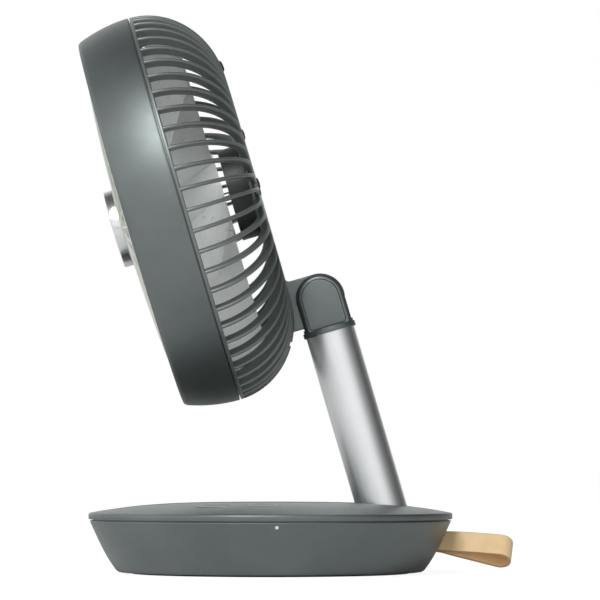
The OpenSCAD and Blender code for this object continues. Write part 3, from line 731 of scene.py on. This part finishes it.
def make_strap():
    """A leather loop: the two ends lie together inside the base, and the loop opens round outside."""
    t, width = 1.5 * MM, 14 * MM
    reach, round_r = 35 * MM, 7 * MM - 0.75 * MM
    throat = 3.2 * MM
    lean = math.asin((round_r - t / 2) / (reach - throat))
    upper = [Vector((x, t / 2)) for x in span(-10.2 * MM, throat * 0.55, 8)]
    sweep = -(math.pi + 2 * lean)
    bend = [Vector(p) for p in arc(reach, 0, round_r, math.pi / 2 + lean, sweep, 32)]
    throat_end = upper[-1]
    for s in span(0, 1, 14)[1:-1]:
        sag = 0.35 * MM * math.sin(math.pi * s) - 0.5 * MM * (1 - s) * s
        upper.append(throat_end.lerp(bend[0], s) + Vector((0, sag)))
    path = upper + bend + [Vector((p.x, -p.y)) for p in reversed(upper)]
    half_t, half_w, edge = t / 2, width / 2, 0.45 * MM
    section = filleted([
        (-half_t, -half_w, edge), (half_t, -half_w, edge), (half_t, half_w, edge), (-half_t, half_w, edge),
    ], 4)
    fine = []
    for i, p in enumerate(section):
        fine.append(p)
        following = section[(i + 1) % len(section)]
        if (following - p).length > 4 * MM:
            fine += [p.lerp(following, k / 6) for k in range(1, 6)]
    rings, edge_flags = [], []
    for i, p in enumerate(path):
        along = (path[min(i + 1, len(path) - 1)] - path[max(i - 1, 0)]).normalized()
        normal = Vector((-along.y, along.x))
        share = i / (len(path) - 1)
        pinch = 1 - 0.02 * math.exp(-((p.x - 2 * MM) / (4 * MM)) ** 2)
        sway = 0.18 * MM * math.sin(share * 9.0) * min(1, max(0, p.x / (20 * MM)))
        ring = []
        for q in fine:
            crown = 0.12 * MM * (1 - (2 * q.y / width) ** 2) if abs(q.y) < width / 2 - 0.4 * MM else 0
            off = q.x + math.copysign(crown, q.x) * 0.5
            place = p + normal * off
            ring.append((place.x, place.y, q.y * pinch + sway))
            edge_flags.append(1.0 if abs(q.y) > width / 2 - 0.35 * MM else 0.0)
        rings.append(ring)
    loop = loft("leather_pull_loop", rings, M["tan_leather"], 60)
    attribute = loop.data.attributes.new("cut_edge", "FLOAT", "POINT")
    attribute.data.foreach_set("value", edge_flags)
    install(loop, "base", ["pull_loop"], STRAP)


# ---------------------------------------------------------------- column


def make_tube():
    low, high = column_low("column_tube"), LIP_LOW
    outline = from_point(TUBE_R, low, (-0.3, 0), (0, 0.3))
    outline += [(TUBE_R, z) for z in span(low + 2 * MM, high - 2 * MM, 10)]
    outline += from_point(TUBE_R, high, (0, -0.1), (-0.1, 0))
    outline += [(TUBE_R - TUBE_WALL, high), (TUBE_R - TUBE_WALL, low)]
    tube = lathe("column_tube_skin", outline, M["brushed_aluminium"])
    cut(tube, across(prism(circle(FOOT_CLEAR, 64), -20 * MM, 20 * MM)))
    install(tube, "column", ["column_tube"], COLUMN)


def column_low(node):
    """Lowest place of a CAD node along the column."""
    obj = frame["nodes"][node]
    inverse = COLUMN.inverted() @ obj.matrix_world
    return min((inverse @ v.co).z for v in obj.data.vertices)


def soft_min(a, b, blend):
    """The smaller of two lengths, rounded where they cross."""
    h = max(blend - abs(a - b), 0) / blend
    return min(a, b) - h * h * blend / 4


def make_knuckle():
    count = 144
    rings = []

    def reach(across_bar, along_face, facing):
        """Distance to the knuckle's skin: a round bar cut to an arch and to two flats."""
        arch = soft_min(KNUCKLE_ROUND, KNUCKLE_R / max(along_face, 1e-6), 0.5 * MM)
        return soft_min(arch, facing / max(across_bar, 1e-6), 1.1 * MM)

    def ring(z, radius=None, flat=FLAT):
        row = []
        for c, s in circle(1, count):
            rho = radius or reach(abs(s), abs(c), flat)
            row.append((rho * c, rho * s, z))
        return row

    for z in (LIP_LOW - 18 * MM, LIP_LOW):
        rings.append(ring(z, TUBE_R - TUBE_WALL))
    neck = LIP_LOW + LIP_H
    collar = filleted([(0, LIP_LOW, 0), (LIP_R, LIP_LOW, 0.35 * MM), (LIP_R, neck, 0.2 * MM), (0, neck, 0)])
    rings += [ring(p.y, p.x) for p in collar[1:-1]]
    for k, grow in enumerate((0.3, 0.1, 0.0)):
        rings.append(ring(neck + 0.15 * MM * k, flat=FLAT + grow * MM))
    rings += [ring(z) for z in span(neck + 0.8 * MM, COLUMN_LEN, 12)]
    for k in range(1, 33):
        lat = math.pi / 2 * k / 33
        row = []
        for x, y in circle(math.cos(lat), count):
            d = Vector((x, y, math.sin(lat)))
            rho = reach(abs(d.y), math.hypot(d.x, d.z), FLAT)
            row.append((d.x * rho, d.y * rho, COLUMN_LEN + d.z * rho))
        rings.append(row)
    fork = loft("knuckle_fork_shell", rings, M["shell_plastic"], 32)
    side, top = 30 * MM, COLUMN_LEN + 40 * MM
    gap = plate("cut", [(-side, FORK_FLOOR), (side, FORK_FLOOR), (side, top), (-side, top)],
                -EAR_INNER, EAR_INNER, 0.02 * MM, M["shell_plastic"])
    cutters = [across(gap)]
    recess = arch_outline(COVER_W + 0.15 * MM, COVER_DROP + 0.15 * MM, 2.15 * MM)
    flared = arch_outline(COVER_W + 0.4 * MM, COVER_DROP + 0.4 * MM, 2.4 * MM)
    levels = (
        (recess, FLAT - COVER_T), (recess, FLAT - 0.3 * MM),
        (flared, FLAT + 0.08 * MM), (flared, FLAT + 3 * MM),
    )
    for sign in (-1, 1):
        cutters.append(cutter([[(x, y * sign, z) for x, z in outline] for outline, y in levels]))
    cutters.append(across(prism(circle(PIN_R + 0.15 * MM, 48, 0, COLUMN_LEN), -20 * MM, 20 * MM)))
    cut(fork, *cutters, smooth_angle=32)
    install(fork, "column", ["knuckle_fork"], COLUMN)
    panel = arch_outline(COVER_W, COVER_DROP, 2 * MM)
    for sign, name in ((-1, "knuckle_cover_left"), (1, "knuckle_cover_right")):
        low, high = sorted(((FLAT - COVER_T) * sign, FLAT * sign))
        cover = on_edge(plate(name + "_panel", panel, low, high, 0.3 * MM, M["shell_plastic"]))
        install(cover, "column", [name], COLUMN)


def arch_outline(w, drop, corner):
    """Outline with a round top of radius w about the pivot and small round corners below."""
    points = arc(0, COLUMN_LEN, w, 0, math.pi, 32)
    for x, start in ((-w + corner, math.pi), (w - corner, 1.5 * math.pi)):
        points += arc(x, COLUMN_LEN - drop + corner, corner, start, math.pi / 2, 8)
    return points


# ---------------------------------------------------------------- head


def make_housing():
    front = -HOUSING_DEPTH
    outer = [(housing_r(z), z) for z in span(-1.3 * MM, front + 1.6 * MM, 24)]
    back = from_point(housing_r(0), 0, (-0.55, -0.7), (-0.15, -0.85))
    lip = from_point(housing_r(front), front, (0.1, 1.05), (-0.2, 0.5), (-0.65, 0.12), (-1.2, 0))
    seat = from_point(FRONT_R, front, (0.7, 0), (0.4, 0.3), (0.4, 4.2), (-2, 4.2), (-2, 5.8))
    inner = [(housing_r(z) - 2.4 * MM, z) for z in span(front + 6.4 * MM, -0.7 * MM, 12)]
    shell = lathe("front_housing_barrel", back + outer + lip + seat + inner, M["shell_plastic"], 240, 25)
    install(shell, "head", ["front_housing"], HEAD, bake=True)


def make_front_grille():
    half = 0.62 * MM
    rings = []
    for r in span(CAP_R - 0.5 * MM, FRONT_R - 1.4 * MM, 14):
        z = front_point_z(r)
        ring = []
        for k in range(9):
            t = math.pi * k / 8
            ring.append((r, -half * math.cos(t), z + half - half * math.sin(t)))
        ring += [(r, half * 0.85, z + 2.9 * MM), (r, -half * 0.85, z + 2.9 * MM)]
        rings.append(ring)
    angles = [2 * math.pi * k / RIB_COUNT for k in range(RIB_COUNT)]
    points, faces = repeated(*strip_points(rings), angles)
    outlines = [round_ring(FRONT_R - 2.8 * MM, FRONT_R + 0.2 * MM, FRONT_Z, FRONT_Z + 3.1 * MM)]
    for r in (50 * MM, 77 * MM):
        z = front_point_z(r)
        outlines.append(round_ring(r - 0.7 * MM, r + 0.7 * MM, z + 0.5 * MM, z + 3 * MM))
    seat = from_point(CAP_R, CAP_SEAT, (1.1, 0), (1.6, 0.25), (1.8, 0.8), (1.8, 3))
    outlines.append([(0, CAP_SEAT), *seat, (0, CAP_SEAT + 3 * MM)])
    for outline in outlines:
        add_lathe(points, faces, outline, 180)
    grille = new_piece("front_grille_fins", points, faces, M["pale_plastic"], 40)
    install(grille, "head", ["front_grille"], HEAD, bake=True)


def round_ring(r_in, r_out, low, high):
    """Section of a ring whose front edge is rounded."""
    half = (r_out - r_in) / 2
    soft = min(half, 0.7 * MM)
    outline = []
    for k in range(6):
        t = math.pi / 2 * k / 5
        outline.append((r_in + soft - soft * math.cos(t), low + soft - soft * math.sin(t)))
    for k in range(6):
        t = math.pi / 2 * k / 5
        outline.append((r_out - soft + soft * math.sin(t), low + soft - soft * math.cos(t)))
    return outline + [(r_out, high), (r_in, high)]


def rib_path(r_start=None):
    """Outer and inner points down a rear rib, from r_start or the rim to the centre plate."""
    pairs = [(back_point(a), back_point(a, RIB_DEPTH)) for a in span(2, 90, 26)]
    for r in span(SHOULDER_R, PLATE_R - 1 * MM, 8)[1:]:
        pairs.append((Vector((r, GRILLE_DEPTH)), Vector((r, GRILLE_DEPTH - RIB_DEPTH))))
    return [pair for pair in pairs if r_start is None or pair[0].x >= r_start]


def make_rear_grille():
    points, faces = [], []
    starts = {0: 93.4, 1: 93.9, 2: 67.5, 3: 45.4}
    for i in range(RIB_COUNT):
        near = min(i, RIB_COUNT - i)
        start = starts[near] * MM if near in starts else None
        rings = [rib_section(outer, inner) for outer, inner in rib_path(start)]
        add_mesh(points, faces, *repeated(*strip_points(rings), [2 * math.pi * i / RIB_COUNT]))
    rim = from_point(RIM_R, 0, (-5.2, 0, 0.3), (-4.6, 0, 0), (-4.6, -3, 0.2), (-2.6, -3, 0.2))
    rim += from_point(RIM_R, 0, (-2.6, 0, 0), (0, 0, 0.45))
    rim += from_point(RIM_R, RIM_RING_H, (0, 0, 0.7), (-5.2, 0, 0.5))
    add_lathe(points, faces, filleted(rim, 4), 240)
    brace_rings = []
    half_gap = math.asin((SPINE_HALF + 0.15 * MM) / BRACE_R)
    brace_z = GRILLE_DEPTH - RIB_DEPTH + 1.3 * MM
    for a in span(half_gap, 2 * math.pi - half_gap, 120):
        ring = []
        for c, s in circle(1, 12):
            r = BRACE_R + 0.75 * MM * c
            ring.append((r * math.cos(a), r * math.sin(a), brace_z + 0.8 * MM * s))
        brace_rings.append(ring)
    add_mesh(points, faces, *strip_points(brace_rings))
    cage = new_piece("rear_grille_cage", points, faces, M["grille_plastic"], 40)
    install(cage, "head", ["rear_grille"], HEAD, bake=True)

    top, low = GRILLE_DEPTH + 0.3 * MM, GRILLE_DEPTH - 2.2 * MM
    outline = [(0, top)]
    for r in (8, 13.5, 26.5):
        outline += from_point(r * MM, top, (-0.5, 0), (-0.2, -0.35), (0.2, -0.35), (0.5, 0))
    outline += from_point(PLATE_R, top, (-1, 0), (-0.3, -0.3), (0, -1))
    outline += [(PLATE_R, low), (0, low)]
    disc = lathe("rear_centre_plate", outline, M["grille_plastic"])
    cutters = []
    for x, y in SCREW_PLACES:
        cutters.append(prism(circle(2.75 * MM, 40, x, y), GRILLE_DEPTH - 0.9 * MM, GRILLE_DEPTH + 5 * MM))
        cutters.append(prism(circle(1.55 * MM, 24, x, y), GRILLE_DEPTH - 9 * MM, GRILLE_DEPTH + 1 * MM))
    cut(disc, *cutters)
    install(disc, "head", place=HEAD)


def make_back_screws():
    seat = GRILLE_DEPTH - 0.9 * MM
    for i, (x, y) in enumerate(SCREW_PLACES):
        node = "arm_screws" if i < 2 else "motor_screws"
        outline = from_point(0, seat, (0, 1), (1.3, 0.96), (2.1, 0.75), (2.5, 0.35), (2.6, 0))
        outline += from_point(0, seat, (1.5, 0), (1.5, -3.4), (0, -3.4))
        head = lathe("back_screw_%d" % i, outline, M["plated_steel"], 40)
        cutters = []
        for turn in (0.3 + i, 0.3 + i + math.pi / 2):
            slot = from_point(0, 0, (-1.5, -0.28), (1.5, -0.28), (1.5, 0.28), (-1.5, 0.28))
            bar = prism(slot, seat + 0.25 * MM, seat + 2 * MM)
            bar.data.transform(Matrix.Rotation(turn, 4, "Z"))
            cutters.append(bar)
        cut(head, *cutters)
        head.data.transform(Matrix.Translation((x, y, 0)))
        install(head, "head", [node], HEAD)


def make_bumpers():
    """Round rubber feet on the back: three on the centre plate and one higher up across two ribs."""
    on_plate = Matrix.Translation((32 * MM, 0, GRILLE_DEPTH + 0.3 * MM))
    stud = back_point(81.85)
    places = [rotation(a, "Z") @ on_plate for a in (90, 180, 270)]
    places.append(Matrix.Translation((-stud[0], 0, stud[1] + 0.04 * MM)) @ rotation(-7.5, "Y"))
    for i, place in enumerate(places):
        bumper = lathe("back_bumper_%d" % i, from_point(
            0, 0, (0, 1.2), (1.6, 1.12), (2.7, 0.85), (3.3, 0.4), (3.5, 0), (0, 0),
        ), M["rubber"], 48, 40)
        bumper.data.transform(place)
        install(bumper, "head", ["back_bumpers"], HEAD)


def make_arm():
    drop, rise = PIVOT_IN_HEAD.x, PIVOT_IN_HEAD.z
    r = KNUCKLE_R - 0.4 * MM
    foot = GRILLE_DEPTH - RIB_DEPTH + 0.2 * MM
    outline = arc(drop, rise, r, 0, math.pi, 40)
    outline += filleted([
        *from_point(drop - r, GRILLE_DEPTH, (0, 4, 0), (0, 0, 2.6), (-5, 0, 0)),
        (drop - r - 5 * MM, foot, 0), (drop + r, foot, 0),
    ], 6)
    tongue = plate("head_arm_tongue", outline, -ARM_HALF, ARM_HALF, 0.7 * MM, M["shell_plastic"], 5)
    on_edge(tongue)
    spine = cutter([spine_ring(outer, inner) for outer, inner in rib_path() if outer.x <= 92.9 * MM])
    tab = plate("cut", filleted([
        (26.5 * MM, -SPINE_HALF, 1 * MM), (40 * MM, -SPINE_HALF, 0),
        (40 * MM, SPINE_HALF, 0), (26.5 * MM, SPINE_HALF, 1 * MM),
    ]), GRILLE_DEPTH - RIB_DEPTH, GRILLE_DEPTH - 2.25 * MM, 0.1 * MM, M["shell_plastic"])
    cut(tongue, spine, tab, operation="UNION", smooth_angle=32)
    pin = across(prism(circle(PIN_R + 0.15 * MM, 40, drop, rise), -20 * MM, 20 * MM))
    cut(tongue, pin, smooth_angle=32)
    install(tongue, "head", ["head_arm"], HEAD)


def spine_ring(outer, inner):
    """Section of the arm's spine: a flat bar with rounded outer edges, across the plane of a rib."""
    half, soft = SPINE_HALF, 1.3 * MM
    along = (inner - outer).normalized()
    ring = []
    for k in range(6):
        t = math.pi / 2 * k / 5
        p = outer + along * (soft - soft * math.sin(t))
        ring.append((p.x, -half + soft - soft * math.cos(t), p.y))
    for k in range(6):
        t = math.pi / 2 * k / 5
        p = outer + along * (soft - soft * math.cos(t))
        ring.append((p.x, half - soft + soft * math.sin(t), p.y))
    low = outer + along * (inner - outer).length
    return ring + [(low.x, half, low.y), (low.x, -half, low.y)]


def make_hub_cap():
    front = CAP_SEAT - CAP_H
    outline = from_point(0, front, (18.8, 0.75), (19.1, 0.7), (19.15, 0.25), (19.4, 0))
    outline += from_point(CAP_R, front, (-0.75, 0), (-0.35, 0.1), (-0.1, 0.35), (0, 0.75))
    outline += from_point(CAP_R, CAP_SEAT, (0, -0.3), (-0.2, 0), (-1.5, 0))
    outline += from_point(CAP_R, front, (-1.5, 1.9))
    outline += from_point(0, front, (0, 1.9), (0, 0.75))
    cap = lathe("hub_cap_turned", outline, M["turned_aluminium"])
    install(cap, "head", ["hub_cap"], HEAD)
    disc = lathe("hub_disc_inlay", from_point(
        0, front, (0, 0.05), (18, 0.05), (18.7, 0.15), (18.95, 0.45), (18.95, 0.7), (0, 0.7),
    ), M["shell_plastic"], 128)
    install(disc, "head", ["hub_disc"], HEAD)


def make_impeller():
    hub_r, low, high = 26 * MM, -14 * MM, 24 * MM
    hub = from_point(0, low, (2.5, 0), (22.5, 0), (24.4, 0.5), (25.5, 1.6))
    hub += [(hub_r, low + 3.5 * MM), (hub_r, high), (hub_r - 2 * MM, high)]
    hub += from_point(hub_r, low, (-2, 3), (-3.4, 2))
    hub += from_point(0, low, (6, 2), (6, 24), (2.5, 24))
    points, faces = [], []
    add_lathe(points, faces, hub, 128)
    rows, columns = 25, 21
    z_low, z_high, root, tip = low + 1 * MM, high - 1 * MM, hub_r - 0.6 * MM, 98.9 * MM
    front_side, back_side = [], []
    for i in range(rows):
        v = i / (rows - 1)
        z = z_low + (z_high - z_low) * v
        twist = -math.radians(38) * v
        round_off = 1 - abs(2 * v - 1) ** 5
        reach = root + (tip - root) * (0.9 + 0.1 * round_off ** 0.5)
        for j in range(columns):
            u = j / (columns - 1)
            r = root + (reach - root) * u
            share = (r - hub_r + 1 * MM) / (tip - hub_r + 1 * MM)
            a = math.radians(12) * share ** 2 + twist
            half = 0.9 * MM * max(0.02, 1 - abs(2 * v - 1) ** 8) ** 0.5 * max(0.02, 1 - u ** 16) ** 0.5
            for side, store in ((1, front_side), (-1, back_side)):
                bend = a + side * half / r
                store.append((r * math.cos(bend), r * math.sin(bend), z))
    blade_faces = []
    size = rows * columns
    for i in range(rows - 1):
        for j in range(columns - 1):
            p, q = i * columns + j, (i + 1) * columns + j
            blade_faces.append((p, q, q + 1, p + 1))
            blade_faces.append((size + p, size + p + 1, size + q + 1, size + q))
    border = list(range(columns)) + [i * columns + columns - 1 for i in range(1, rows)]
    border += [(rows - 1) * columns + j for j in range(columns - 2, -1, -1)]
    border += [i * columns for i in range(rows - 2, 0, -1)]
    for k, p in enumerate(border):
        q = border[(k + 1) % len(border)]
        blade_faces.append((p, q, size + q, size + p))
    blade = front_side + back_side
    angles = [2 * math.pi * k / BLADE_COUNT for k in range(BLADE_COUNT)]
    add_mesh(points, faces, *repeated(blade, outward(blade, blade_faces), angles))
    impeller = new_piece("impeller_moulding", points, faces, M["blade_plastic"], 40)
    install(impeller, "rotor", ["impeller"], HEAD, bake=True)


# ---------------------------------------------------------------- places of the small parts

STRAP = Matrix.Translation((98 * MM, 0, 18.2 * MM)) @ rotation(9, "Y") @ rotation(-35, "X")
SOCKET = (
    rotation(40, "Z") @ Matrix.Translation((0, 0, 16 * MM))
    @ Matrix(((0, 0, 1, 0), (1, 0, 0, 0), (0, 1, 0, 0), (0, 0, 0, 1)))
)
LIGHT = Matrix.Translation((4.3 * MM, -BASE_R, 28 * MM)) @ rotation(-90, "X")
BUTTON_R = 9.4 * MM
BUTTON_HOLE = BUTTON_R + 0.3 * MM
BUTTONS = {}
for button_body in ("power_button", "speed_button"):
    box_low, box_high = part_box(button_body)
    button_x, button_y = (box_low.x + box_high.x) / 2, -64 * MM
    BUTTONS[button_body] = (
        Matrix.Translation((button_x, button_y, dome_z(math.hypot(button_x, button_y))))
        @ rotation(3.9, "X")
    )
SCREW_PLACES = [(33 * MM, -7 * MM), (33 * MM, 7 * MM)] + [
    (20 * MM * math.cos(math.radians(a)), 20 * MM * math.sin(math.radians(a))) for a in (60, 180, 300)
]

# ---------------------------------------------------------------- making everything


def paint_cad_nodes():
    """Gives each CAD node that still shows the material of its slot."""
    for part in frame["record"]["subparts"]:
        materials = frame["nodes"][part["node"]].data.materials
        materials.clear()
        materials.append(M[part["material_slot"]])


def make_world():
    """A photo studio painted by direction: bright in front, left and behind, dark on the right and above."""
    world = bpy.data.worlds.new("studio")
    n = Tree(world)
    split = n.add("ShaderNodeSeparateXYZ")
    n.link(n.add("ShaderNodeTexCoord").outputs["Generated"], split.inputs["Vector"])
    turn = n.maths("ARCTAN2", split.outputs["X"], n.maths("MULTIPLY", split.outputs["Y"], -1.0))
    azimuth = n.spread(turn, -math.pi, math.pi)
    around = n.curve(azimuth, [(a / 360 + 0.5, bright) for a, bright in AROUND])
    height = n.spread(split.outputs["Z"], -1.0, 1.0)
    upward = n.curve(height, [(math.sin(math.radians(e)) / 2 + 0.5, bright) for e, bright in UPWARD])
    lit = n.tree.nodes["Background"]
    lit.inputs["Color"].default_value = (1, 1, 1, 1)
    n.link(n.maths("MULTIPLY", around, upward), lit.inputs["Strength"])
    plain = n.add("ShaderNodeBackground", Color=(1, 1, 1, 1), Strength=1.0)
    n.seen_by_camera(plain.outputs["Background"], lit.outputs["Background"], "World Output")
    bpy.context.scene.world = world


# Brightness of the studio by azimuth from the camera, + to the right, and by height in degrees
AROUND = [
    (-180, 1.3), (-162, 1.2), (-135, 0.9), (-112, 1.0), (-84, 1.5), (-60, 1.25), (-38, 1.0), (0, 1.05),
    (20, 1.15), (40, 0.95), (60, 0.4), (84, 0.1), (112, 0.05), (145, 0.3), (162, 1.0), (180, 1.3),
]
UPWARD = [(-90, 0.8), (-10, 1.1), (0, 1.1), (20, 0.88), (40, 0.45), (60, 0.12), (80, 0.04), (90, 0.03)]


def make_studio():
    corners = [(-30, -30, 0), (30, -30, 0), (30, 30, 0), (-30, 30, 0)]
    floor = new_piece("studio_floor", corners, [(0, 1, 2, 3)], floor_material())
    make_world()
    soft_light("key", (-0.5, -1.62, 1.75), (0, 0, 0.2), 0.8, 1.05, 27)


def soft_light(name, place, target, width, height, power):
    light = bpy.data.lights.new(name, "AREA")
    light.shape = "RECTANGLE"
    light.size = width
    light.size_y = height
    light.energy = power
    obj = bpy.data.objects.new(name, light)
    obj.location = place
    obj.rotation_euler = (Vector(target) - Vector(place)).to_track_quat("-Z", "Y").to_euler()
    bpy.context.scene.collection.objects.link(obj)


def floor_material():
    """Pale floor that the camera sees near white, and that lights the object as a plain matt floor."""
    n = Nodes("studio floor")
    tone = n.mix(n.spread(n.noise(2, 3), 0.3, 0.7), (0.86, 0.86, 0.86), (0.9, 0.9, 0.9))
    n.set(Base_Color=tone, Roughness=0.6)
    glow = n.add("ShaderNodeEmission", Strength=1.2)
    seen = n.add("ShaderNodeMixShader", Fac=0.75)
    n.link(n.shader.outputs["BSDF"], seen.inputs[1])
    n.link(glow.outputs["Emission"], seen.inputs[2])
    matt = n.add("ShaderNodeBsdfDiffuse", Color=(0.97, 0.97, 0.97, 1))
    n.seen_by_camera(seen.outputs["Shader"], matt.outputs["BSDF"], "Material Output")
    return n.material


def make_camera():
    camera = bpy.data.cameras.new("photo_view")
    camera.lens = 232.8
    camera.sensor_width = 36
    camera.clip_end = 20
    obj = bpy.data.objects.new("photo_view", camera)
    eye, target = Vector((0.01707, -2.245, 0.0647)), Vector((0.01707, 0, 0.1578))
    obj.location = eye
    obj.rotation_euler = (target - eye).to_track_quat("-Z", "Y").to_euler()
    bpy.context.scene.collection.objects.link(obj)
    bpy.context.scene.camera = obj


bpy.context.scene.view_settings.view_transform = "Standard"
paint_cad_nodes()
make_base_bowl()
make_top_plate()
make_buttons()
make_foot()
make_light()
make_strap()
make_tube()
make_knuckle()
make_housing()
make_front_grille()
make_rear_grille()
make_back_screws()
make_bumpers()
make_arm()
make_hub_cap()
make_impeller()
make_studio()
make_camera()
